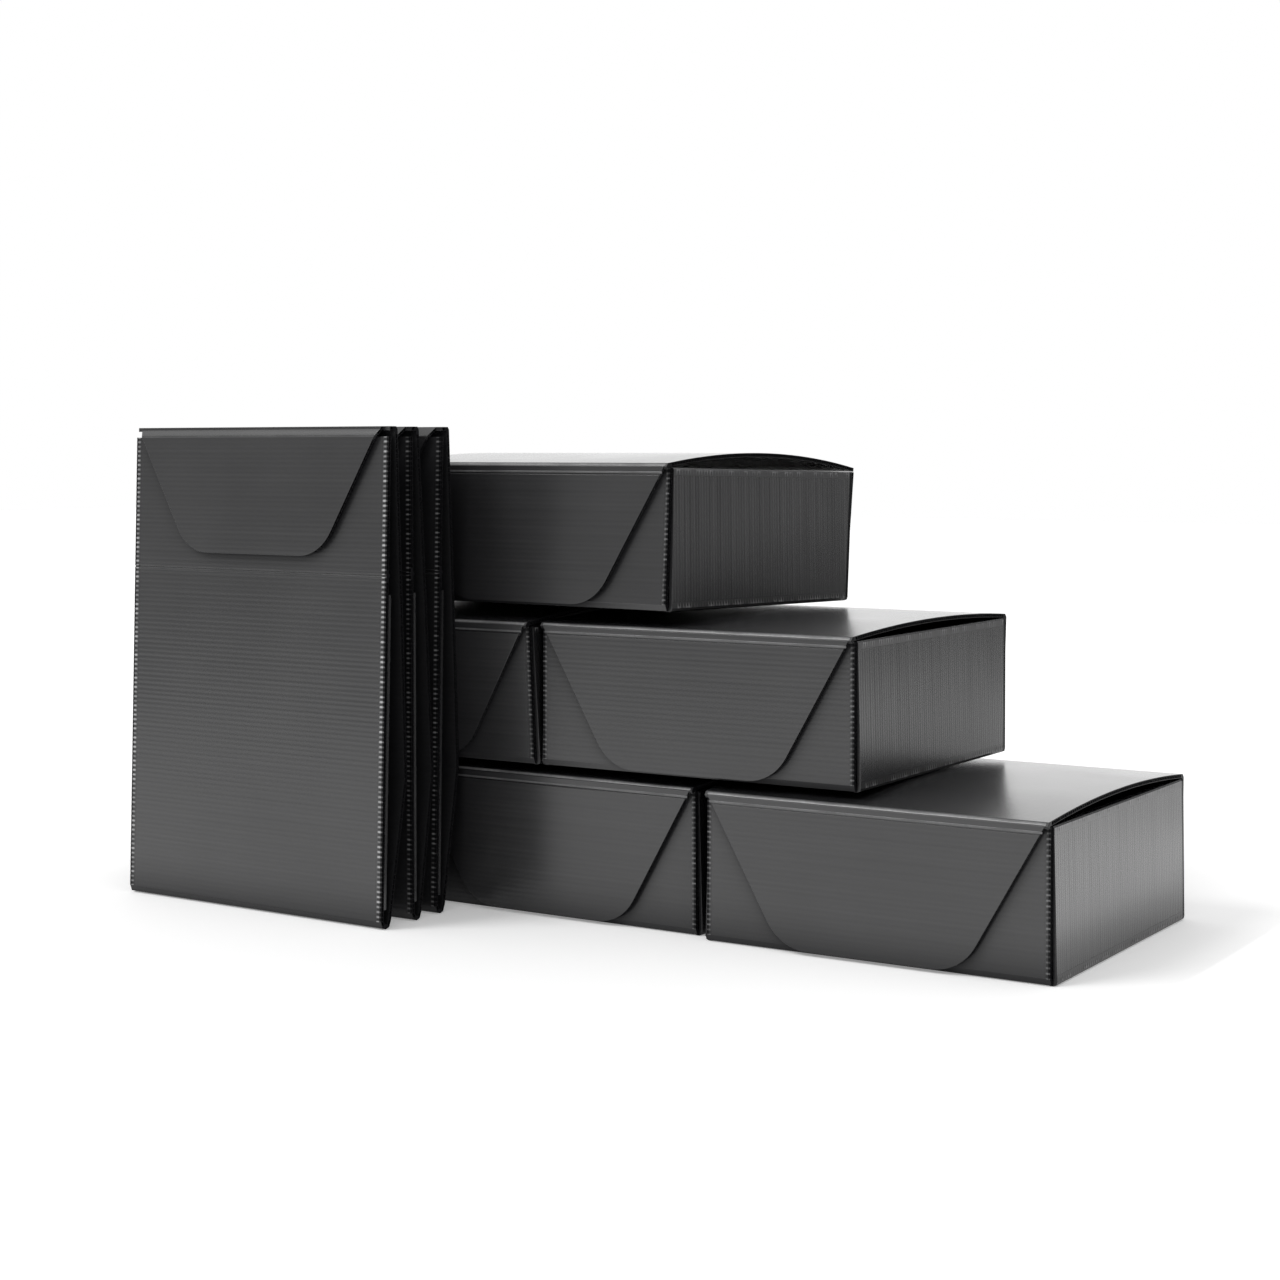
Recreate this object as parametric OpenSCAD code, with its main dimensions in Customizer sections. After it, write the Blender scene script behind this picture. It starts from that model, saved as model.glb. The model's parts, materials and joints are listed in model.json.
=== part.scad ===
// Nine reusable mailers of fluted plastic board. Six are set up as flat boxes and
// stacked three, two, one. Three are folded flat and stand on edge in front of the pile.
// Millimetres, +Z up, fronts toward -Y. Origin at the middle of the pile, on the floor.

/* [Box] */
// Width of a mailer, cut edge to cut edge of its front
width = 257.2; // [180:0.2:400]
// Depth of a mailer, front to back
depth = 256; // [180:1:400]
// Height of a closed mailer at its front and back edges
height = 106.7; // [60:0.1:200]

/* [Board] */
// Thickness of the fluted board
board = 3; // [2:0.1:6]
// Distance from one flute wall to the next
pitch = 3.6; // [2.5:0.1:8]
// Thickness of the board's two skins
skin = 0.5; // [0.3:0.05:1]
// Thickness of a flute wall
web = 0.5; // [0.3:0.05:1]

/* [Flap] */
// Length of the closing flap from the lid's front edge
flap_length = 104; // [60:1:106]
// Width of the band between the flap's two score lines
band = 8.25; // [5:0.25:14]
// Slant of the flap's sides from upright
flap_slant = 30; // [10:1:40]
// Radius of the flap's lower corners
flap_round = 36; // [10:1:50]
// Space between the flap and the front behind it
flap_gap = 1.6; // [1:0.1:4]
// Width of a hook or loop pad
pad_width = 75; // [20:1:90]
// Height of a hook or loop pad
pad_height = 25; // [10:1:40]
// Thickness of a hook or loop pad
pad_thick = 0.7; // [0.4:0.05:1.5]
// Distance from a pad to the lower edge of the sheet that carries it
pad_inset = 8; // [2:0.5:20]

/* [End panels] */
// How far an end panel's foot stands out past the cut edges
foot_out = 3.3; // [3.1:0.1:6]
// How far an end panel's head stands out past the cut edges
head_out = 1; // [0:0.1:3]
// Depth of the hem folded down inside an end panel
hem = 30; // [15:1:60]
// How far the hem stops short of the front and back panels
hem_inset = 22; // [5:1:60]

/* [Piled boxes: space to the right, y, turn, lid edge out, back out, lid bow] */
// Bottom right mailer
bottom_right_at = [0, 0, 0, 3.7, 4.9, 6.1];
// Bottom middle mailer
bottom_middle_at = [15.1, 10.1, -0.86, 5.6, 5, 6.1];
// Bottom left mailer
bottom_left_at = [30.6, 8, 0, 4.6, 5, 6.1];
// Middle right mailer
middle_right_at = [15.8, 6.2, 0.12, 4.3, 7.1, 5];
// Middle left mailer
middle_left_at = [23.3, 4.2, 0, 11, 5, 8.7];
// Top mailer
top_at = [34.7, 0, -3.15, 0.5, 10.2, 9.5];
// Backward tilt of the top mailer on the bowed lids under it
top_tilt = 1.15; // [0:0.05:2]

/* [Flat mailer section] */
// How far the sheets stand apart at the folded edge a flat mailer stands on
fold_depth = 11.3; // [8:0.1:16]
// How far the bend between back and lid stands behind the front
bend_out = 27; // [14:0.5:40]
// How far the middle of the lid stands behind the front
lid_out = 19; // [10:0.5:40]
// How far the lid's front edge stands behind the front
edge_out = 10; // [9.9:0.1:20]
// How far the front's top edge lies below the lid's bent edge
front_drop = 7.5; // [5:0.1:15]
// How far its folded end panels stop short of the bottom and the back
end_inset = 14; // [11:0.5:30]

/* [Flat mailers: space to the right, y, turn, top shift in x and y] */
// Front flat mailer
flat_front_at = [88.6, -95.1, -1.7, 3.9, 4.1];
// Middle flat mailer
flat_middle_at = [89.1, -58, 0, -0.9, -0.9];
// Rear flat mailer
flat_rear_at = [89.8, -28.7, 0, 3.3, 2.3];

/* [Hidden] */

// Each layer stands on the most bowed lid below it, with a hair of clearance
rest_gap = 0.1;
layer_two = height + bottom_right_at[5] + rest_gap;
lid_half = (depth + middle_left_at[3] + middle_left_at[4]) / 2;
tilt_rise = pow(tan(top_tilt) * lid_half, 2) / (4 * middle_left_at[5]);
layer_three = layer_two + height + middle_left_at[5] + rest_gap
    + tilt_rise + tan(top_tilt) * depth / 2;
flat_height = height + depth + 1.7;

// Distances from the front right corner of the bottom right mailer to the middle.
// The spaces to the right are on top of a whole number of half widths.
pile_back = top_at[1] + width * sin(-top_at[2])
    + cos(top_at[2]) * ((depth + top_at[4]) * cos(top_tilt) + height * sin(top_tilt));
pile_front = flat_front_at[1] - board - flap_gap + flat_front_at[4];
shift_x = (3 * width + bottom_left_at[0]) / 2;
shift_y = -(pile_back + pile_front) / 2;

// A moving flap starts a hair below its score line, a fixed one below a groove there
hinge_gap = 0.2;
score_z = height - band;
free_top = score_z - hinge_gap;
fixed_top = score_z - 0.6;
end_top = height - board - 0.3;
front_top = height - board - 0.7;
charcoal = "#45474b";
pad_black = "#1c1c1e";

function unit(v) = v / norm(v);
function left(v) = [-v[1], v[0]];
function mix(a, b, s) = a + (b - a) * s;

// Points of a straight run of board, one at each flute wall, without the last one
function run(a, b) =
    let (n = max(1, round(norm(b - a) / pitch)))
    [for (i = [0:n - 1]) mix(a, b, i / n)];

// The same for a bowed run that rises in the middle
function bow(a, b, rise) =
    let (n = round(norm(b - a) / pitch))
    [for (i = [0:n - 1]) mix(a, b, i / n) + [0, 4 * rise * (i / n) * (1 - i / n)]];

// The inner skin's point behind point i of an outer skin
function inner(path, i) =
    let (a = unit(path[max(i, 1)] - path[max(i, 1) - 1]),
         j = min(i, len(path) - 2),
         b = unit(path[j + 1] - path[j]),
         m = unit(left(a) + left(b)))
    path[i] + m * board / (m * left(a));

// The hollow of the flute between points i and i + 1
function hollow(path, i) =
    let (a = path[i], b = path[i + 1], c = inner(path, i), d = inner(path, i + 1),
         u = unit(b - a) * web / 2, s = skin / board)
    [mix(a, c, s) + u, mix(b, d, s) - u, mix(b, d, 1 - s) - u, mix(a, c, 1 - s) + u];

// A section is hollow where its steps are about one flute long on both skins
function is_flute(path, i) =
    norm(path[i + 1] - path[i]) < 1.6 * pitch
    && norm(inner(path, i + 1) - inner(path, i)) > 0.75 * pitch;

// A sheet of fluted board, its outer skin along a path and its flutes along X
module sheet(path) {
    last = len(path) - 1;
    translate([-width, 0, 0]) rotate([90, 0, 90]) linear_extrude(width)
        difference() {
            polygon(concat(path, [for (i = [last:-1:0]) inner(path, i)]));
            for (i = [0:last - 1])
                if (is_flute(path, i)) polygon(hollow(path, i));
        }
}

// The flap's outline from above line z, as a plate that trims the sheet it is cut from
module flap_outline(z) {
    corner = flap_length - flap_round / 2;
    centre = [1 + corner * tan(flap_slant) + flap_round * cos(flap_slant),
              flap_length - flap_round];
    side = concat([[0.5, -1], [1, 0]],
        [for (a = [30:7.5:90]) centre + flap_round * [-cos(a), sin(a)]]);
    points = concat([for (p = side) [-p[0], z - p[1]]],
        [for (i = [len(side) - 1:-1:0]) [side[i][0] - width, z - side[i][1]]]);
    translate([0, flap_length, 0]) rotate([90, 0, 0]) linear_extrude(2 * flap_length)
        polygon(points);
}

// Front, bottom and back of a set up mailer. back_top is the height its back reaches.
function shell_path(at, back_top) = concat(
    run([flap_gap + board - at[3], front_top], [0, 5]),
    [[0, 5], [2, 0.7], [8, 0], [depth - 8, 0], [depth - 2, 0.7]],
    run([depth, 5], [depth + at[4], back_top]),
    [[depth + at[4], back_top]]);

// Lid from its back edge to its front edge, where the flap's first score line is
function lid_path(at, back) = concat(
    bow([depth + at[4] - back, height], [2.5 - at[3], height], at[5]),
    [[2.5 - at[3], height], [-at[3], height - 2.5]]);

// Band between the score lines, with a groove along the second one
function band_path(at) = [[-at[3], height - 2.5], [-at[3], height - 5.2],
                          [-at[3], 2 * score_z - fixed_top], [0.5 - at[3], score_z]];

function flap_path(at, top) = concat(
    run([-at[3], top], [-flap_gap - board, height - flap_length]),
    [[-flap_gap - board, height - flap_length]]);

// One end panel, folded up from the bottom, its top edge turned over into a hem
module end_panel(at, side) {
    edge = side > 0 ? 0 : -width;
    neck = head_out - board;
    wall = [[-2, 0], [0.8, 0], [foot_out - 0.5, 0.9], [foot_out, board],
            [head_out, end_top - 1.2], [head_out - 0.8, end_top],
            [neck - 2.6, end_top], [neck - 3.4, end_top - 1.2],
            [neck - 3.3, end_top - board], [neck, end_top - board],
            [foot_out - board, board], [-2, board]];
    turned = [[neck - 3.35, end_top - board + 0.5], [neck - 0.4, end_top - board + 0.5],
              [neck + 0.1, end_top - hem], [neck - 2.9, end_top - hem]];
    for (cut = [[wall, 0], [turned, hem_inset]])
        intersection() {
            translate([0, depth + 50, 0]) rotate([90, 0, 0]) linear_extrude(depth + 100)
                polygon([for (p = cut[0]) [edge + side * p[0], p[1]]]);
            between_panels(at, cut[1]);
        }
}

// The room between the leaning front and back panels, less an inset at each end
module between_panels(at, inset) {
    near = board + 0.7 + inset;
    far = depth - board - 0.7 - inset;
    translate([-width - 10, 0, 0]) rotate([90, 0, 90]) linear_extrude(width + 20)
        polygon([[near, -1], [near + flap_gap + board - at[3], height],
                 [far + at[4], height], [far, -1]]);
}

// A mailer set up as a box. parts: 0 with lid and flap, 1 with lid, 2 open
module mailer(at, parts) {
    back_top = parts == 2 ? height - board - 0.5 : height - 2.5;
    shell = shell_path(at, back_top);
    color(charcoal) union() {
        sheet(parts == 2 ? shell : concat(shell, lid_path(at, 2.5)));
        end_panel(at, 1);
        end_panel(at, -1);
        if (parts < 2)
            intersection() {
                sheet(parts == 0 ? concat(band_path(at), flap_path(at, fixed_top))
                    : [[-at[3], height - 2.5], [-at[3], height - 5.2],
                       [-at[3], score_z]]);
                flap_outline(height);
            }
    }
}

// The flap of a set up mailer, hinged along its second score line
module mailer_flap(at) {
    color(charcoal) intersection() {
        sheet(flap_path(at, free_top));
        flap_outline(height);
    }
}

// The lid of the top mailer with its flap, hinged along its back edge
module mailer_lid(at) {
    color(charcoal) union() {
        sheet(lid_path(at, 0.3));
        intersection() {
            sheet(concat(band_path(at), flap_path(at, fixed_top)));
            flap_outline(height);
        }
    }
}

// A pad on the sheet between two points, proud of it by its thickness
module pad(low, high, out) {
    step = unit(high - low);
    a = low + step * pad_inset;
    b = a + step * pad_height;
    translate([-(width + pad_width) / 2, 0, 0]) rotate([90, 0, 90])
        linear_extrude(pad_width)
        polygon([a, b, b + left(step) * out, a + left(step) * out]);
}

module hook_pad(at) {
    pad([0, 5], [flap_gap + board - at[3], front_top], pad_thick);
}

module loop_pad(at, top) {
    a = [-flap_gap - board, height - flap_length];
    b = [-at[3], top];
    n = -left(unit(b - a)) * board;
    pad(a + n, b + n, -pad_thick);
}

// Front panel, bottom, back and lid of a flat mailer, in a closed loop on edge
flat_front_top = flat_height - front_drop;
flat_shell = concat(
    run([0, flat_front_top], [0, depth + 0.8]),
    [[0, depth + 0.8], [0.6, depth]],
    run([0, depth - 0.8], [0, 6]),
    [[0, 6], [2, 1.2], [fold_depth / 2, 0], [fold_depth - 2, 1.2]],
    run([fold_depth, 6], [bend_out, height]),
    run([bend_out, height], [lid_out, height + depth / 2]),
    run([lid_out, height + depth / 2], [edge_out, flat_height - 2]),
    [[edge_out, flat_height - 2]],
    run([edge_out - 1.6, flat_height], [edge_out - band, flat_height]),
    [[edge_out - band, flat_height]]);
flat_flap_low = [-board - flap_gap, flat_height + band - flap_length];
flat_flap_knee = [-board - flap_gap, flat_front_top + 0.5];

function flat_flap(top) = concat(run(top, flat_flap_knee),
    run(flat_flap_knee, flat_flap_low), [flat_flap_low]);

// One end panel of a flat mailer, folded in over the bottom with its hem
module flat_end(side) {
    edge = side > 0 ? 0 : -width;
    reach = end_top;
    hem_end = end_inset + 18;
    for (b = [[0.5, reach, board + 0.3, 2 * board + 0.3, end_inset],
              [0.5, 5, board - 0.1, board + 0.4, end_inset],
              [reach - hem, reach, 2 * board + 0.6, 3 * board + 0.6, hem_end],
              [reach - 3, reach, 2 * board + 0.2, 2 * board + 0.7, hem_end]])
        translate([side > 0 ? edge - b[1] : edge + b[0], b[2], b[4]])
            cube([b[1] - b[0], b[3] - b[2], depth - 2 * b[4]]);
}

module flat_mailer(with_flap) {
    color(charcoal) union() {
        sheet(flat_shell);
        flat_end(1);
        flat_end(-1);
        if (with_flap)
            intersection() {
                sheet(flat_flap([edge_out - band, flat_height]));
                flap_outline(flat_height + band);
            }
    }
}

module flat_mailer_flap() {
    color(charcoal) intersection() {
        sheet(concat([[edge_out - band - board - 0.15, flat_height - 0.1]],
            flat_flap([edge_out - band - board - 0.15, flat_height - 2])));
        flap_outline(flat_height + band);
    }
}

module flat_hook() {
    pad([0, depth + 10], [0, flat_front_top], pad_thick);
}

module flat_loop() {
    pad(flat_flap_low + [board, 0], flat_flap_knee + [board, 0], -pad_thick);
}

// Places of the piled and flat mailers in the frame
module piled(at, widths, z, tilt = 0) {
    translate([shift_x - widths * width - at[0], shift_y + at[1], z])
        rotate([-tilt, 0, at[2]]) children();
}

module stood(at) {
    translate([shift_x - 1.5 * width - at[0], shift_y + at[1], 0]) rotate([0, 0, at[2]])
        multmatrix([[1, 0, at[3] / flat_height, 0], [0, 1, at[4] / flat_height, 0],
                    [0, 0, 1, 0], [0, 0, 0, 1]]) children();
}

module bottom_left_mailer() { piled(bottom_left_at, 2, 0) mailer(bottom_left_at, 0); }
module bottom_middle_mailer() { piled(bottom_middle_at, 1, 0) mailer(bottom_middle_at, 0); }
module bottom_right_mailer() { piled(bottom_right_at, 0, 0) mailer(bottom_right_at, 1); }
module bottom_right_flap() { piled(bottom_right_at, 0, 0) mailer_flap(bottom_right_at); }
module middle_left_mailer() { piled(middle_left_at, 1.5, layer_two) mailer(middle_left_at, 0); }
module middle_right_mailer() {
    piled(middle_right_at, 0.5, layer_two) mailer(middle_right_at, 1);
}
module middle_right_flap() { piled(middle_right_at, 0.5, layer_two) mailer_flap(middle_right_at); }
module top_mailer() { piled(top_at, 1, layer_three, top_tilt) mailer(top_at, 2); }
module top_lid() { piled(top_at, 1, layer_three, top_tilt) mailer_lid(top_at); }
module flat_front_mailer() { stood(flat_front_at) flat_mailer(false); }
module flat_front_flap() { stood(flat_front_at) flat_mailer_flap(); }
module flat_middle_mailer() { stood(flat_middle_at) flat_mailer(true); }
module flat_rear_mailer() { stood(flat_rear_at) flat_mailer(true); }

module hook_pads() {
    color(pad_black) {
        piled(bottom_left_at, 2, 0) hook_pad(bottom_left_at);
        piled(bottom_middle_at, 1, 0) hook_pad(bottom_middle_at);
        piled(bottom_right_at, 0, 0) hook_pad(bottom_right_at);
        piled(middle_left_at, 1.5, layer_two) hook_pad(middle_left_at);
        piled(middle_right_at, 0.5, layer_two) hook_pad(middle_right_at);
        piled(top_at, 1, layer_three, top_tilt) hook_pad(top_at);
        stood(flat_front_at) flat_hook();
        stood(flat_middle_at) flat_hook();
        stood(flat_rear_at) flat_hook();
    }
}

module loop_pads() {
    color(pad_black) {
        piled(bottom_left_at, 2, 0) loop_pad(bottom_left_at, fixed_top);
        piled(bottom_middle_at, 1, 0) loop_pad(bottom_middle_at, fixed_top);
        piled(middle_left_at, 1.5, layer_two) loop_pad(middle_left_at, fixed_top);
        stood(flat_middle_at) flat_loop();
        stood(flat_rear_at) flat_loop();
    }
}

module bottom_right_loop_pad() {
    color(pad_black) piled(bottom_right_at, 0, 0) loop_pad(bottom_right_at, free_top);
}
module middle_right_loop_pad() {
    color(pad_black) piled(middle_right_at, 0.5, layer_two) loop_pad(middle_right_at, free_top);
}
module top_loop_pad() {
    color(pad_black) piled(top_at, 1, layer_three, top_tilt) loop_pad(top_at, fixed_top);
}
module flat_front_loop_pad() { color(pad_black) stood(flat_front_at) flat_loop(); }

bottom_left_mailer();
bottom_middle_mailer();
bottom_right_mailer();
bottom_right_flap();
middle_left_mailer();
middle_right_mailer();
middle_right_flap();
top_mailer();
top_lid();
flat_front_mailer();
flat_front_flap();
flat_middle_mailer();
flat_rear_mailer();
hook_pads();
loop_pads();
bottom_right_loop_pad();
middle_right_loop_pad();
top_loop_pad();
flat_front_loop_pad();
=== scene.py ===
"""Looks for a stepped pile of reusable fluted plastic mailers.

The CAD frame holds every sheet with its true flutes. This script dresses those sheets,
adds the crushed folds and pressed score lines that the photograph shows, and sets the
floor, the light and the camera. Lengths in the classes are millimetres, as in the CAD
source. Meshes are written in metres.
"""

import json
import logging
import math
from dataclasses import dataclass, replace
from enum import Enum

import bpy
import numpy as np
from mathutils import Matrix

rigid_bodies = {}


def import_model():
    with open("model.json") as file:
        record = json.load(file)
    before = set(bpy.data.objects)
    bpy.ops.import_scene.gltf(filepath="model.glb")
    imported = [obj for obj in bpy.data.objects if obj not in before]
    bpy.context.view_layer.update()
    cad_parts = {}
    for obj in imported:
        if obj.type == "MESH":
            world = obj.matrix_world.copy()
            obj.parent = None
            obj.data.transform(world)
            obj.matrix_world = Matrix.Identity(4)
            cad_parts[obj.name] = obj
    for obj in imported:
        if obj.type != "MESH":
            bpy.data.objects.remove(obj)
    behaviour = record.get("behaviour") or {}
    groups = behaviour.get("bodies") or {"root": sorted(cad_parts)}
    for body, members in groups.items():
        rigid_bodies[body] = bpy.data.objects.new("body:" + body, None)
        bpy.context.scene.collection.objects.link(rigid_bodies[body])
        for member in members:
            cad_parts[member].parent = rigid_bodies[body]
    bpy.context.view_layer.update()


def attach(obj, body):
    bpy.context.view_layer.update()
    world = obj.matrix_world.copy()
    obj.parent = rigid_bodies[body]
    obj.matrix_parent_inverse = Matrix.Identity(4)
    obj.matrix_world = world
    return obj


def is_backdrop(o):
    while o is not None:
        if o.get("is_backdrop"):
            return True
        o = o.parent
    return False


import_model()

LOG = logging.getLogger("mailers")
MM = 0.001
IMAGE_SIDE = 1280
LEVEL = 0.3

WIDTH = 257.2
DEPTH = 256.0
HEIGHT = 106.7
BOARD = 3.0
PITCH = 3.6
BAND = 8.25
FLAP_LENGTH = 104.0
FLAP_GAP = 1.6
FOOT_OUT = 3.3
HEAD_OUT = 1.0
END_TOP = HEIGHT - BOARD - 0.3
SCORE = HEIGHT - BAND
FRONT_TOP = HEIGHT - BOARD - 0.7
END_GAP = 3.6
END_INSET = BOARD + 0.9
FLAT_HEIGHT = HEIGHT + DEPTH + 1.7
FLAT_FRONT_TOP = FLAT_HEIGHT - 7.5
SHIFT = np.array([401.1, -93.208, 0.0])
LAYER_TWO = 112.9
LAYER_THREE = 231.1836


class Side(Enum):
    """An end of a mailer, by the sign of its outward X."""

    RIGHT = 1
    LEFT = -1


def wave(values: np.ndarray, length: float) -> np.ndarray:
    """Return a ridge pattern from 0 to 1: half of one plus the cosine of the phase.

    Args:
        values: Places along the pattern, in mm.
        length: Distance from one ridge to the next, in mm.

    Returns:
        The ridge height at each place, from 0 to 1.
    """
    return 0.5 + 0.5 * np.cos(2 * np.pi * values / length)


def smooth(values: np.ndarray, low: float, high: float) -> np.ndarray:
    """Return the smooth step 3 t^2 - 2 t^3 of t, which runs from 0 at low to 1 at high.

    Args:
        values: The values to ease.
        low: Value where the step is 0.
        high: Value where the step is 1.

    Returns:
        The eased values, from 0 to 1.
    """
    t = np.clip((values - low) / (high - low), 0.0, 1.0)
    return t * t * (3 - 2 * t)


@dataclass(frozen=True)
class Strip:
    """A grid of points with a crest value at each, from 0, full painted shade, to 1, full painted
    highlight.
    """

    points: np.ndarray
    crest: np.ndarray


def surface(name: str, strips: list[Strip]) -> bpy.types.Object:
    """Make one object from strips, four-sided between neighbouring points.

    The crest values are kept as the point attribute "crest", from which the fold finish paints
    highlights and shade.

    Args:
        name: Name of the piece.
        strips: Grids of rows by columns by 3, in mm, in the row's frame.

    Returns:
        The new object, at the origin, smooth shaded.
    """
    points, corners, crests, start = [], [], [], 0
    for strip in strips:
        rows, columns = strip.points.shape[:2]
        index = start + np.arange(rows * columns).reshape(rows, columns)
        quads = np.stack([index[:-1, :-1], index[:-1, 1:], index[1:, 1:], index[1:, :-1]], axis=-1)
        points.append(strip.points.reshape(-1, 3))
        crests.append(np.broadcast_to(strip.crest, (rows, columns)).ravel())
        corners.append(quads.reshape(-1, 4))
        start += rows * columns
    vertices = np.concatenate(points) * MM
    faces = np.concatenate(corners)
    mesh = bpy.data.meshes.new(name)
    mesh.vertices.add(len(vertices))
    mesh.vertices.foreach_set("co", vertices.ravel())
    mesh.loops.add(faces.size)
    mesh.loops.foreach_set("vertex_index", faces.ravel())
    mesh.polygons.add(len(faces))
    mesh.polygons.foreach_set("loop_start", np.arange(0, faces.size, 4))
    mesh.polygons.foreach_set("use_smooth", np.ones(len(faces), dtype=bool))
    crest = mesh.attributes.new("crest", "FLOAT", "POINT")
    crest.data.foreach_set("value", np.concatenate(crests).astype(np.float32))
    mesh.update(calc_edges=True)
    mesh.validate()
    piece = bpy.data.objects.new(name, mesh)
    bpy.context.collection.objects.link(piece)
    return piece


@dataclass(frozen=True)
class Place:
    """Where a mailer stands: its front right bottom corner, turn, tilt and top shift."""

    x: float
    y: float
    z: float = 0.0
    turn: float = 0.0
    tilt: float = 0.0
    shift_x: float = 0.0
    shift_y: float = 0.0

    def put(self, local: np.ndarray) -> np.ndarray:
        """Carry points from the mailer's own frame to the row's frame.

        Formula: shear by the top shift, turn about X by minus tilt, about Z by turn,
        then add the corner's place.

        Args:
            local: Array of points, in mm, its last axis x, y, z.

        Returns:
            The points in the row's frame, in mm.
        """
        x, y, z = local[..., 0], local[..., 1], local[..., 2]
        x = x + self.shift_x * z / FLAT_HEIGHT
        y = y + self.shift_y * z / FLAT_HEIGHT
        lean, turn = math.radians(self.tilt), math.radians(self.turn)
        y, z = y * math.cos(lean) + z * math.sin(lean), z * math.cos(lean) - y * math.sin(lean)
        x, y = x * math.cos(turn) - y * math.sin(turn), x * math.sin(turn) + y * math.cos(turn)
        return np.stack([x + self.x, y + self.y, z + self.z], axis=-1) + SHIFT


class Shader:
    """A short way to write a material's node tree."""

    def __init__(self, name: str) -> None:
        """Start an empty material with an output node."""
        self.material = bpy.data.materials.new(name)
        self.material.use_nodes = True
        self.tree = self.material.node_tree
        self.tree.nodes.clear()
        self.output = self.tree.nodes.new("ShaderNodeOutputMaterial")

    def node(self, kind: str, inputs: dict | None = None, **settings: object) -> bpy.types.Node:
        """Add a node, set its properties, and set or link its inputs.

        Args:
            kind: The node's type name, without its ShaderNode prefix.
            inputs: Values or sockets by input name or number.
            settings: Properties of the node.

        Returns:
            The new node.
        """
        made = self.tree.nodes.new("ShaderNode" + kind)
        for key, value in settings.items():
            setattr(made, key, value)
        for key, value in (inputs or {}).items():
            if isinstance(value, bpy.types.NodeSocket):
                self.tree.links.new(value, made.inputs[key])
            else:
                made.inputs[key].default_value = value
        return made

    def math(self, operation: str, *values: object) -> bpy.types.NodeSocket:
        """Return the result of a Math node on values or sockets."""
        return self.node("Math", dict(enumerate(values)), operation=operation).outputs[0]

    def mix(self, factor: object, low: tuple, high: tuple) -> bpy.types.NodeSocket:
        """Return a blend of two colours or colour sockets by a factor socket."""
        made = self.node("Mix", {0: factor, 6: low, 7: high}, data_type="RGBA")
        return made.outputs[2]

    def unshaded(self, place: bpy.types.Node) -> bpy.types.NodeSocket:
        """Return the share of light left by the painted shade, from 0 where other sheets touch a
        point to 1.

        The distance looked at grows with height: 20 mm at the bright floor, and 45 mm
        more for each 100 mm above it, up to 75 mm.

        Args:
            place: The material's texture coordinate node.

        Returns:
            The share of light left by the painted shade, as a socket.
        """
        at = self.node("SeparateXYZ", {0: place.outputs["Object"]})
        reach = self.math("ADD", 0.02, self.math("MULTIPLY", at.outputs["Z"], 0.45))
        near = self.node("AmbientOcclusion", {"Distance": self.math("MINIMUM", reach, 0.075)},
                         samples=6)
        return self.math("POWER", near.outputs["AO"], 1.9)

    def mirror(self, unshaded: bpy.types.NodeSocket) -> bpy.types.NodeSocket:
        """Return the specular level with painted shade, from 0.08 at a contact to the plain 0.5.
        """
        return self.math("ADD", 0.08, self.math("MULTIPLY", unshaded, 0.42))

    def finish(self, surface_socket: bpy.types.NodeSocket) -> bpy.types.Material:
        """Link the surface to the output and return the material."""
        self.tree.links.new(surface_socket, self.output.inputs["Surface"])
        return self.material


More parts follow.
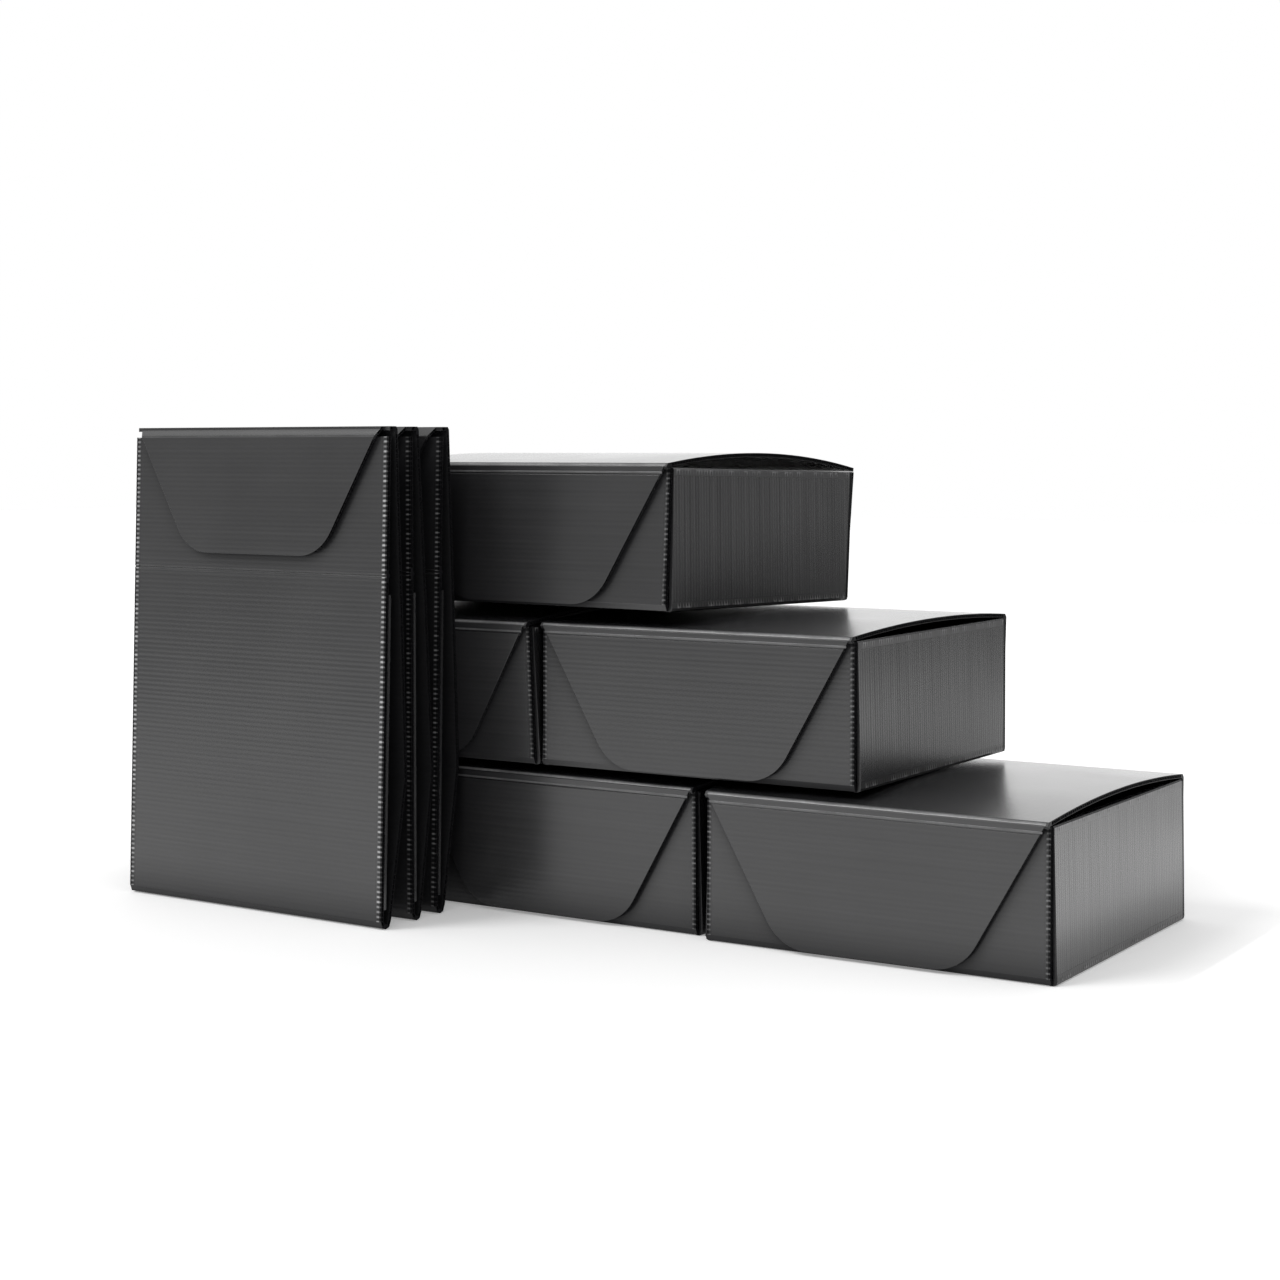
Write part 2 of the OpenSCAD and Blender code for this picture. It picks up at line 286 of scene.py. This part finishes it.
@dataclass(frozen=True)
class BoardFinish:
    """Satin charcoal fluted board: flute lines, soft streaks, and painted shade on the cut edges
    and at contacts.
    """

    name: str
    place: Place
    dark: tuple = (0.023, 0.023, 0.024, 1.0)
    pale: tuple = (0.044, 0.044, 0.045, 1.0)
    # The near black of painted shade, for cut planes, flap rims, end panel gaps and contacts.
    cut: tuple = (0.009, 0.009, 0.01, 1.0)
    roughness: float = 0.25
    line_depth: float = 0.022
    line_tone: float = 0.06
    score: float = SCORE
    back_out: float = 5.0
    gap: float = END_GAP

    def material(self) -> bpy.types.Material:
        """Build the material.

        The flutes run along the mailer's own X on fronts and lids, and upright on the
        end panels. So the lines are counted by height where the surface faces forward
        or back, and by depth everywhere else. The planes where the sheets were cut, and
        the cut rims of the flaps, are painted near black with little reflection, as painted
        shade for the flutes' dark hollows, and a band at an end panel's back edge is painted
        the same way, as painted shade for the gap there. The board also gets painted shade,
        darker and duller, where other sheets stand close.

        Returns:
            The finished material.
        """
        s = Shader(self.name)
        place = s.node("TexCoord")
        corner = (SHIFT + np.array([self.place.x, self.place.y, self.place.z])) * MM
        moved = s.node("VectorMath", {0: place.outputs["Object"], 1: tuple(corner)},
                       operation="SUBTRACT")
        unturn = (0, 0, -math.radians(self.place.turn))
        level = (math.radians(self.place.tilt), 0, 0)
        upright = s.node("Mapping", {"Vector": moved.outputs[0], "Rotation": unturn})
        turned = s.node("Mapping", {"Vector": upright.outputs[0], "Rotation": level})
        facing = s.node("Mapping", {"Vector": place.outputs["Normal"], "Rotation": unturn})
        at = s.node("SeparateXYZ", {0: turned.outputs[0]})
        normal = s.node("SeparateXYZ", {0: facing.outputs[0]})
        forward = s.math("GREATER_THAN", s.math("ABSOLUTE", normal.outputs["Y"]), 0.7)
        end = s.math("GREATER_THAN", s.math("ABSOLUTE", normal.outputs["X"]), 0.7)
        by_height = s.math("MULTIPLY", forward, at.outputs["Z"])
        by_depth = s.math("MULTIPLY", s.math("SUBTRACT", 1.0, forward), at.outputs["Y"])
        count = s.math("DIVIDE", s.math("ADD", by_height, by_depth), PITCH * MM)
        line = s.math("SINE", s.math("MULTIPLY", count, 2 * math.pi))
        # Streaks: noise stretched along the flutes, which lie upright on the end panels.
        along = s.math("ADD", s.math("MULTIPLY", end, at.outputs["Z"]),
                       s.math("MULTIPLY", s.math("SUBTRACT", 1.0, end), at.outputs["X"]))
        streak_at = s.node("CombineXYZ", {0: s.math("MULTIPLY", along, 5.0),
                                          1: s.math("MULTIPLY", count, 1.0), 2: end})
        streak = s.node("TexNoise", {"Vector": streak_at.outputs[0], "Scale": 1.0, "Detail": 2.0})
        uneven = s.math("SUBTRACT", streak.outputs["Fac"], 0.5)
        cloud = s.node("TexNoise", {"Vector": turned.outputs[0], "Scale": 9.0, "Detail": 2.0})
        grain = s.node("TexNoise", {"Vector": turned.outputs[0], "Scale": 2600.0, "Detail": 1.0})
        # Lines are strongest on the fronts; streaks are strongest on the end panels.
        lines = s.math("MULTIPLY", s.math("MULTIPLY", line, self.line_tone),
                       s.math("MULTIPLY", streak.outputs["Fac"], 2.0))
        streaks = s.math("MULTIPLY", uneven, s.math("ADD", 0.5, s.math("MULTIPLY", end, 1.1)))
        tone = s.math("ADD", s.math("ADD", lines, streaks),
                      s.math("MULTIPLY", cloud.outputs["Fac"], 0.9))
        body_colour = s.mix(s.math("MINIMUM", s.math("MAXIMUM", tone, 0.0), 1.0),
                            self.dark, self.pale)
        # Painted shade: masks of the cut planes, the flaps' cut rims and a band at each end
        # panel's back edge, all painted near black.
        lean = s.math("MULTIPLY", at.outputs["Z"], self.place.shift_x / FLAT_HEIGHT)
        from_right = s.math("SUBTRACT", at.outputs["X"], lean)
        from_left = s.math("ADD", from_right, WIDTH * MM)
        nearest = s.math("MINIMUM", s.math("ABSOLUTE", from_right),
                         s.math("ABSOLUTE", from_left))
        trimmed = s.math("LESS_THAN", nearest, 0.0002)
        from_front = s.math("SUBTRACT", at.outputs["Y"], s.math(
            "MULTIPLY", at.outputs["Z"], self.place.shift_y / FLAT_HEIGHT))
        flap = s.math("MULTIPLY", s.math("LESS_THAN", from_front, -0.8 * FLAP_GAP * MM),
                      s.math("LESS_THAN", at.outputs["Z"], (self.score - 2.0) * MM))
        rim = s.math("MULTIPLY", flap, s.math(
            "LESS_THAN", s.math("ABSOLUTE", normal.outputs["Y"]), 0.6))
        back = s.math("ADD", (DEPTH - END_INSET - self.gap) * MM, s.math(
            "MULTIPLY", at.outputs["Z"], self.back_out / HEIGHT))
        gap = s.math("MULTIPLY", end, s.math("GREATER_THAN", at.outputs["Y"], back))
        hollow_shade = s.math("MAXIMUM", s.math("MAXIMUM", trimmed, rim), gap)
        # Painted shade: the colour darkens towards near black and the reflection weakens where
        # other sheets stand close.
        unshaded = s.unshaded(place)
        colour = s.mix(hollow_shade, s.mix(unshaded, self.cut, body_colour), self.cut)
        # The mirror strength: flutes and streaks show in it on the end panels only, and painted
        # shade weakens it at contacts, cut planes, flap rims and end panel gaps.
        upright_lines = s.math("ADD", s.math("MULTIPLY", uneven, 0.9),
                               s.math("MULTIPLY", line, 0.34))
        patterned = s.math("ADD", 1.0, s.math("MULTIPLY", upright_lines, end))
        mirror = s.math("MULTIPLY", s.mirror(unshaded), s.math("MULTIPLY", patterned, s.math(
            "SUBTRACT", 1.0, s.math("MULTIPLY", hollow_shade, 0.93))))
        edge = s.node("Bevel", {"Radius": 0.0005}, samples=4)
        relief = s.math("ADD", s.math("MULTIPLY", line, 0.5),
                        s.math("MULTIPLY", streak.outputs["Fac"], 1.5))
        ribs = s.node("Bump", {"Height": relief, "Strength": 1.0,
                               "Distance": self.line_depth * MM, "Normal": edge.outputs[0]})
        fine = s.node("Bump", {"Height": grain.outputs["Fac"], "Strength": 0.3,
                               "Distance": 0.00001, "Normal": ribs.outputs[0]})
        shine = s.math("ADD", self.roughness - 0.04,
                       s.math("MULTIPLY", cloud.outputs["Fac"], 0.08))
        body = s.node("BsdfPrincipled", {"Base Color": colour, "Roughness": shine,
                                         "IOR": 1.64, "Specular IOR Level": mirror,
                                         "Normal": fine.outputs[0]})
        return s.finish(body.outputs[0])


@dataclass(frozen=True)
class FoldFinish:
    """Board with painted highlights on its crests, at crushed folds, score lines and cut edges.

    The crest attribute is 0 for full painted shade, LEVEL on plain board and 1 for a full painted
    highlight.
    """

    name: str = "stretched_board"
    # Colours: the painted shade in hollows, the plain board, and the painted highlight on crests.
    hollow_shade: tuple = (0.004, 0.004, 0.0045, 1.0)
    plain: tuple = (0.033, 0.033, 0.034, 1.0)
    pale: tuple = (0.42, 0.42, 0.425, 1.0)

    def material(self) -> bpy.types.Material:
        """Build the material: the crest attribute paints highlights on the board in patches, and
        shade below LEVEL.

        Returns:
            The finished material, the same one each time.
        """
        if self.name in bpy.data.materials:
            return bpy.data.materials[self.name]
        s = Shader(self.name)
        place = s.node("TexCoord")
        crest = s.node("Attribute", attribute_name="crest")
        patch = s.node("TexNoise", {"Vector": place.outputs["Object"], "Scale": 330.0,
                                    "Detail": 3.0})
        vary = s.math("ADD", 0.45, s.math("MULTIPLY", patch.outputs["Fac"], 1.1))
        # Painted highlight where the crest rises above LEVEL; painted shade, also in the
        # reflection, below it.
        risen = s.math("DIVIDE", s.math("SUBTRACT", crest.outputs["Fac"], LEVEL), 1.0 - LEVEL)
        white = s.math("MINIMUM", s.math("MULTIPLY", s.math("MAXIMUM", risen, 0.0), vary), 1.0)
        filled = s.math("MINIMUM", s.math("DIVIDE", crest.outputs["Fac"], LEVEL), 1.0)
        # Painted shade: darker and duller where other sheets stand close.
        unshaded = s.unshaded(place)
        board = s.mix(unshaded, self.hollow_shade, s.mix(filled, self.hollow_shade, self.plain))
        colour = s.mix(white, board, self.pale)
        mirror = s.math("MULTIPLY", s.mirror(unshaded),
                        s.math("ADD", 0.07, s.math("MULTIPLY", filled, 0.93)))
        bump = s.node("Bump", {"Height": patch.outputs["Fac"], "Strength": 0.3,
                               "Distance": 0.00008})
        body = s.node("BsdfPrincipled", {"Base Color": colour, "Roughness": 0.28,
                                         "IOR": 1.64, "Specular IOR Level": mirror,
                                         "Normal": bump.outputs[0]})
        return s.finish(body.outputs[0])


@dataclass(frozen=True)
class PadFinish:
    """Matt black hook and loop pad: a fine pile with a little sheen."""

    name: str = "hook_and_loop"

    def material(self) -> bpy.types.Material:
        """Build the material: fine cells of dark fibre.

        Returns:
            The finished material.
        """
        s = Shader(self.name)
        place = s.node("TexCoord")
        cells = s.node("TexVoronoi", {"Vector": place.outputs["Object"], "Scale": 900.0})
        colour = s.mix(cells.outputs["Distance"], (0.009, 0.009, 0.01, 1.0),
                       (0.03, 0.03, 0.032, 1.0))
        bump = s.node("Bump", {"Height": cells.outputs["Distance"], "Strength": 0.8,
                               "Distance": 0.0003})
        body = s.node("BsdfPrincipled", {"Base Color": colour, "Roughness": 0.9,
                                         "Sheen Weight": 0.2, "Normal": bump.outputs[0]})
        return s.finish(body.outputs[0])


@dataclass
class FoldedMailer:
    """Folds shared by every mailer: score lines, and skins pinched at the cut edges."""

    name: str
    place: Place
    body: str
    lid_out: float = 4.6

    def ridge(self, a: tuple, b: tuple, out: tuple, size: float, rise: float,
              crest: float) -> Strip:
        """Return a low rounded ridge along a fold line, with a painted highlight on its top.

        Formula: point(u, v) = a + (b - a) u + across * size * cos(v) + out * rise * sin(v),
        with v from 0 to pi and a slow waver of the rise along u.

        Args:
            a: Start of the line, in mm.
            b: End of the line.
            out: Unit vector away from the sheet.
            size: Half width of the ridge.
            rise: Height of the ridge.
            crest: How strong the painted highlight on its top is, from 0 to 1.

        Returns:
            The ridge in the row's frame.
        """
        start, end, normal = (np.array(v, dtype=float) for v in (a, b, out))
        run = end - start
        across = np.cross(normal, run / np.linalg.norm(run))
        u = np.linspace(0.0, 1.0, 121)[:, None, None]
        v = np.linspace(0.0, math.pi, 7)[None, :, None]
        waver = 0.8 + 0.2 * np.sin(37.0 * u) * np.sin(11.0 * u + 1.0)
        fade = smooth(u, 0.0, 0.01) * smooth(1.0 - u, 0.0, 0.01)
        local = (start + run * u + across * size * np.cos(v)
                 + normal * (rise * waver * fade * np.sin(v) - 0.02))
        # Painted highlight along the ridge's top.
        pale = LEVEL + (1.0 - LEVEL) * crest * np.sin(v[..., 0]) * waver[..., 0]
        return Strip(self.place.put(local), pale)

    def ticks(self, x: float, inward: float, low: tuple, high: tuple, side: float,
              bright: float, reach: float = 3.4) -> Strip:
        """Return a strip of pinched skin along a cut edge, with a tick at each flute wall.

        Formula: y = sheet(z) + side (0.05 + 0.25 r(z) f(d)), where r is the ridge pattern
        of the flute walls, d the distance from the cut edge and f its weight there. The
        rim is painted dark as painted shade for the flutes' hollows, and the skin beside it
        gets a painted highlight as a pale tick at each wall, with painted shade between.

        Args:
            x: Place of the cut edge, in mm.
            inward: Sign of x away from the edge.
            low: y and z of the sheet's lower end.
            high: y and z of its upper end.
            side: Sign of y away from the sheet.
            bright: How strong the ticks' painted highlight is, from 0 to 1.
            reach: How far the ticks run in from the edge, in mm.

        Returns:
            The strip in the row's frame.
        """
        count = round(math.hypot(high[0] - low[0], high[1] - low[1]) / PITCH)
        u = np.linspace(0.0, 1.0, count * 8 + 1)[:, None]
        d = np.linspace(0.02, reach, 9)[None, :]
        rim = 1.0 - smooth(d, 1.2, 1.7)
        pinch = smooth(d, 1.2, 1.7) * (1.0 - smooth(d, reach * 0.7, reach))
        wall = wave(u * count, 1.0)
        own = np.random.default_rng(round(abs(x) + low[1])).uniform(0.3, 1.0, count + 1)
        strength = own[np.minimum(np.round(u * count).astype(int), count)]
        sheet_y = low[0] + (high[0] - low[0]) * u
        z = low[1] + (high[1] - low[1]) * u
        y = sheet_y + side * (0.05 + 0.25 * wall ** 2 * (pinch + 0.4 * rim))
        local = np.stack(np.broadcast_arrays(x + inward * d, y, z), axis=-1)
        # Painted shade on the rim, and painted highlights as ticks at the flute walls.
        crest = LEVEL * (1.0 - rim) + rim * (0.02 + 0.5 * strength * wall ** 5)
        crest = crest + pinch * (bright * strength * wall ** 2 - 0.12 * (1.0 - wall))
        if (inward > 0) != (side < 0):
            local, crest = local[:, ::-1], crest[:, ::-1]
        return Strip(self.place.put(local), crest)

    def board(self) -> BoardFinish:
        """Return the finish of this mailer's sheet."""
        return BoardFinish("%s_board" % self.name, self.place)

    def finish(self, suffix: str, strips: list[Strip], body: str) -> bpy.types.Object:
        """Make a dressed piece of strips that rides on a body.

        Args:
            suffix: What the piece is, added to the mailer's name.
            strips: Its strips.
            body: The body that carries it.

        Returns:
            The piece.
        """
        piece = surface("%s_%s" % (self.name, suffix), strips)
        piece.data.materials.append(FoldFinish().material())
        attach(piece, body)
        LOG.info("%s: %d faces", piece.name, len(piece.data.polygons))
        return piece


@dataclass
class PiledMailer(FoldedMailer):
    """A mailer set up as a box: score lines on its front, crushed folds on its ends."""

    back_out: float = 5.0

    def board(self) -> BoardFinish:
        """Return the finish of this mailer's sheet, which knows how its back leans."""
        return replace(super().board(), back_out=self.back_out)

    def face_x(self, z: np.ndarray) -> np.ndarray:
        """Return how far an end panel's outer face stands out at each height, in mm."""
        t = (z - BOARD) / (END_TOP - 1.2 - BOARD)
        return FOOT_OUT + (HEAD_OUT - FOOT_OUT) * t

    def crimps(self, side: Side, low: float, high: float, seed: int) -> Strip:
        """Return a strip of upright crimps where flutes are crushed along a fold.

        Formula: x = face(z) + 0.06 + 0.42 c r(y)^2 w(z), where c is each crimp's depth, r
        the ridge pattern of the flutes and w a smooth step from plain edge to fold.

        Args:
            side: The end of the mailer.
            low: Height of the strip's plain edge, in mm.
            high: Height of the fold itself.
            seed: Seed of each crimp's own depth.

        Returns:
            The strip in the row's frame.
        """
        lean = FLAP_GAP + BOARD - self.lid_out
        y = np.arange(0.0, 1.0, 1.0 / 560)[:, None]
        z = np.linspace(low, high, 9)[None, :]
        near = END_INSET + lean * z / HEIGHT
        far = DEPTH - END_INSET - END_GAP + self.back_out * z / HEIGHT
        y = near + (far - near) * y
        depth = np.random.default_rng(seed).uniform(0.0, 1.0, 400) ** 1.5
        cell = depth[np.floor(y / PITCH + 5).astype(int)]
        weight = smooth(np.abs(z - low), 0.0, abs(high - low) * 0.8)
        ridge = wave(y, PITCH) ** 2
        x = self.face_x(z) + 0.06 + 0.42 * cell * ridge * weight
        edge = 0.0 if side is Side.RIGHT else -WIDTH
        local = np.stack(np.broadcast_arrays(edge + side.value * x, y, z), axis=-1)
        # Painted highlight on each crimp's ridge, painted shade between them, and a painted
        # highlight along the fold.
        crest = LEVEL + weight * (0.4 * cell * ridge - 0.2 * cell * (1.0 - ridge))
        crest = np.maximum(crest, 0.45 * smooth(weight, 0.92, 1.0) * (0.6 + 0.4 * cell))
        if (side is Side.RIGHT) == (high > low):
            local, crest = local[::-1], crest[::-1]
        return Strip(self.place.put(local), crest)

    def build(self) -> list[bpy.types.Object]:
        """Build the crushed folds, pinched cut edges and score lines of this mailer.

        Returns:
            The pieces, dressed and riding on their bodies.
        """
        folds = []
        for number, side in enumerate(Side):
            folds.append(self.crimps(side, END_TOP - 5.5, END_TOP - 1.0, 11 + number))
            folds.append(self.crimps(side, BOARD + 4.0, BOARD - 0.4, 31 + number))
        foot, head = (0.0, 5.0), (FLAP_GAP + BOARD - self.lid_out, FRONT_TOP)
        edges = [self.ticks(0.0, -1, foot, head, -1, 0.22),
                 self.ticks(-WIDTH, 1, foot, head, -1, 0.22)]
        y, slope = -self.lid_out, math.sqrt(0.5)
        # Ridges at the lid's front edge and at the score line, each with a painted highlight.
        lines = [self.ridge((-WIDTH + 1, y + 1.3, HEIGHT - 1.3), (-1, y + 1.3, HEIGHT - 1.3),
                            (0, -slope, slope), 1.2, 0.3, 0.42),
                 self.ridge((-WIDTH + 4, y, SCORE + 1.4), (-4, y, SCORE + 1.4), (0, -1, 0),
                            0.8, 0.25, 0.2)]
        return [self.finish("crushed_folds", folds, "pile"),
                self.finish("cut_edges", edges, "pile"),
                self.finish("score_lines", lines, self.body)]


@dataclass
class FlatMailer(FoldedMailer):
    """A mailer folded flat: a crease across its front, and its cut edges."""

    flap_body: str = "pile"
    bright: float = 0.35

    def board(self) -> BoardFinish:
        """Return the finish of this mailer's sheet: clearer lines, and no end panels."""
        return replace(super().board(), line_depth=0.035, line_tone=0.1,
                       score=FLAT_FRONT_TOP, gap=-10.0)

    def build(self) -> list[bpy.types.Object]:
        """Build the crease and the pinched cut edges of this flat mailer.

        Returns:
            The pieces, dressed and riding on the pile.
        """
        creases = [self.ridge((-WIDTH + 1, 0, z), (-1, 0, z), (0, -1, 0), 0.6, 0.04, 0.02)
                   for z in (DEPTH - 1.6, DEPTH + 1.6)]
        edges = []
        for x, inward in ((0.0, -1), (-WIDTH, 1)):
            for low, high in ((6.0, DEPTH - 0.8), (DEPTH + 0.8, FLAT_FRONT_TOP)):
                edges.append(self.ticks(x, inward, (0.0, low), (0.0, high), -1, self.bright, 4.8))
        y, z = -BOARD - FLAP_GAP, FLAT_FRONT_TOP + 0.5
        knee = [self.ridge((-WIDTH + 10, y, z), (-10, y, z), (0, -1, 0), 0.7, 0.12, 0.08)]
        return [self.finish("creases", creases, "pile"), self.finish("cut_edges", edges, "pile"),
                self.finish("flap_score_line", knee, self.flap_body)]


@dataclass
class BoardDressing:
    """Dresses the CAD sheets and pads with their finishes, each mailer in its own place."""

    row: list[FoldedMailer]

    def dress(self) -> None:
        """Give every CAD node its finish."""
        made: dict = {}
        for thing in list(bpy.data.objects):
            if thing.type != "MESH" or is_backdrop(thing):
                continue
            if "pad" in thing.name:
                finish = PadFinish()
            else:
                finish = next(mailer.board() for mailer in self.row
                              if thing.name.startswith(mailer.name))
            if finish.name not in made:
                made[finish.name] = finish.material()
            thing.data.materials.clear()
            thing.data.materials.append(made[finish.name])
            LOG.info("dressed %s in %s", thing.name, finish.name)


@dataclass(frozen=True)
class Card:
    """A plain glowing card: a corner and two edges, in mm, and its brightness."""

    name: str
    corner: tuple
    along: tuple
    up: tuple
    level: float


@dataclass
class Studio:
    """Pale floor, white surroundings, soft lamps and the photograph's camera."""

    distance: float = 1462.8
    aside: float = -265.32
    eye: float = 346.5
    yaw: float = 0.563
    focal: float = 2265.586
    centre: tuple = (639.336, 450.85)
    ambient: float = 0.68
    floor_glow: float = 0.25
    floor_half: float = 9000.0
    floor_drop: float = 0.05
    sun_lean: float = 46.0
    sun_turn: float = -38.0
    sun_width: float = 26.0
    sun_energy: float = 1.15
    cards: tuple = (
        Card("bright_floor", (470, -100, 0.5), (450, 0, 0), (0, 700, 0), 1.5),
        Card("bright_back", (-4200, 1200, 0), (4800, 3000, 0), (0, 0, 2500), 1.6),
        Card("dark_surround", (400, 2300, 0), (2400, -1500, 0), (0, 0, 1600), 0.3),
        Card("dim_front", (-2494, -986, 0), (2538, -1602, 0), (0, 0, 1500), 0.4),
    )

    def sheet(self, name: str, corner: tuple, along: tuple, up: tuple) -> bpy.types.Object:
        """Lay one flat stage sheet from a corner and two edges, in mm.

        Args:
            name: Name of the sheet.
            corner: Its first corner.
            along: The edge from that corner.
            up: The other edge from it.

        Returns:
            The sheet, marked as stage.
        """
        u = np.linspace(0.0, 1.0, 3)[:, None, None]
        v = np.linspace(0.0, 1.0, 3)[None, :, None]
        grid = np.array(corner) + np.array(along) * v + np.array(up) * u
        made = surface(name, [Strip(grid, np.zeros((3, 3)))])
        made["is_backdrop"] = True
        return made

    def floor(self) -> None:
        """Lay a pale floor out to beyond the camera's view."""
        half = self.floor_half
        ground = self.sheet("studio_floor", (-half, -half, -self.floor_drop),
                            (2 * half, 0, 0), (0, 2 * half, 0))
        s = Shader("floor_paper")
        place = s.node("TexCoord")
        fibre = s.node("TexNoise", {"Vector": place.outputs["Object"], "Scale": 300.0})
        colour = s.mix(fibre.outputs["Fac"], (0.95, 0.95, 0.95, 1), (0.97, 0.97, 0.97, 1))
        body = s.node("BsdfPrincipled", {"Base Color": colour, "Roughness": 0.9,
                                         "Emission Color": (1, 1, 1, 1),
                                         "Emission Strength": self.floor_glow})
        ground.data.materials.append(s.finish(body.outputs[0]))

    def stand(self, card: Card) -> None:
        """Stand a card that only the board's reflections see.

        Args:
            card: The card.
        """
        made = self.sheet(card.name, card.corner, card.along, card.up)
        s = Shader(card.name)
        light = s.node("Emission", {"Color": (1, 1, 1, 1), "Strength": card.level})
        made.data.materials.append(s.finish(light.outputs[0]))
        made.visible_camera = made.visible_diffuse = made.visible_shadow = False
        made.visible_transmission = False

    def world(self) -> None:
        """Make the surroundings white to the camera and evenly bright to the object."""
        world = bpy.data.worlds.new("white_surroundings")
        bpy.context.scene.world = world
        world.use_nodes = True
        tree = world.node_tree
        tree.nodes.clear()
        out = tree.nodes.new("ShaderNodeOutputWorld")
        seen, light = (tree.nodes.new("ShaderNodeBackground") for _ in range(2))
        for background, strength in ((seen, 1.0), (light, self.ambient)):
            background.inputs["Color"].default_value = (1, 1, 1, 1)
            background.inputs["Strength"].default_value = strength
        path = tree.nodes.new("ShaderNodeLightPath")
        camera_or_glossy, any_seen = (tree.nodes.new("ShaderNodeMath") for _ in range(2))
        camera_or_glossy.operation = any_seen.operation = "MAXIMUM"
        mix = tree.nodes.new("ShaderNodeMixShader")
        for start, end in (
                (path.outputs["Is Camera Ray"], camera_or_glossy.inputs[0]),
                (path.outputs["Is Glossy Ray"], camera_or_glossy.inputs[1]),
                (camera_or_glossy.outputs[0], any_seen.inputs[0]),
                (path.outputs["Is Transmission Ray"], any_seen.inputs[1]),
                (any_seen.outputs[0], mix.inputs[0]),
                (light.outputs[0], mix.inputs[1]),
                (seen.outputs[0], mix.inputs[2]),
                (mix.outputs[0], out.inputs["Surface"])):
            tree.links.new(start, end)

    def sun(self) -> None:
        """Add one wide soft sun."""
        data = bpy.data.lights.new("soft_sun", "SUN")
        data.energy, data.angle = self.sun_energy, math.radians(self.sun_width)
        lamp = bpy.data.objects.new("soft_sun", data)
        bpy.context.collection.objects.link(lamp)
        lamp.rotation_euler = (math.radians(self.sun_lean), 0, math.radians(self.sun_turn))

    def camera(self) -> None:
        """Set the level camera of the photograph, its horizon moved by the lens shift."""
        ahead = np.array([-math.sin(self.yaw), math.cos(self.yaw), 0.0])
        right = np.array([math.cos(self.yaw), math.sin(self.yaw), 0.0])
        spot = -self.distance * ahead + self.aside * right + SHIFT
        spot[2] = self.eye
        data = bpy.data.cameras.new("photo_camera")
        data.sensor_width = 36.0
        data.lens = self.focal * data.sensor_width / IMAGE_SIDE
        data.shift_x = (IMAGE_SIDE / 2 - self.centre[0]) / IMAGE_SIDE
        data.shift_y = (self.centre[1] - IMAGE_SIDE / 2) / IMAGE_SIDE
        data.clip_start, data.clip_end = 0.05, 50.0
        camera = bpy.data.objects.new("photo_camera", data)
        bpy.context.collection.objects.link(camera)
        camera.location = tuple(spot * MM)
        camera.rotation_euler = (math.pi / 2, 0, self.yaw)
        bpy.context.scene.camera = camera

    def build(self) -> None:
        """Build the whole studio."""
        self.floor()
        self.world()
        self.sun()
        for card in self.cards:
            self.stand(card)
        self.camera()
        bpy.context.scene.view_settings.view_transform = "Standard"


def mailers() -> list[FoldedMailer]:
    """Return the nine mailers with their places, as the CAD source sets them."""
    top = Place(-291.9, 0, LAYER_THREE, -3.15, 1.15)
    return [
        PiledMailer("bottom_right", Place(0, 0), "pile", 3.7),
        PiledMailer("bottom_middle", Place(-272.3, 10.1, 0, -0.86), "pile", 5.6),
        PiledMailer("bottom_left", Place(-545, 8), "pile", 4.6),
        PiledMailer("middle_right", Place(-144.4, 6.2, LAYER_TWO, 0.12), "pile", 4.3, 7.1),
        PiledMailer("middle_left", Place(-409.1, 4.2, LAYER_TWO), "pile", 11.0),
        PiledMailer("top", top, "top_lid_body", 0.5, 10.2),
        FlatMailer("flat_front", Place(-474.4, -95.1, 0, -1.7, 0, 3.9, 4.1), "pile",
                   flap_body="flat_front_flap_body", bright=0.85),
        FlatMailer("flat_middle", Place(-474.9, -58, 0, 0, 0, -0.9, -0.9), "pile"),
        FlatMailer("flat_rear", Place(-475.6, -28.7, 0, 0, 0, 3.3, 2.3), "pile"),
    ]


def main() -> None:
    """Dress the CAD sheets, build every mailer's folds, then the studio."""
    logging.basicConfig(level=logging.INFO, format="%(name)s: %(message)s")
    row = mailers()
    BoardDressing(row).dress()
    for mailer in row:
        mailer.build()
    Studio().build()


if __name__ == "__main__":
    main()
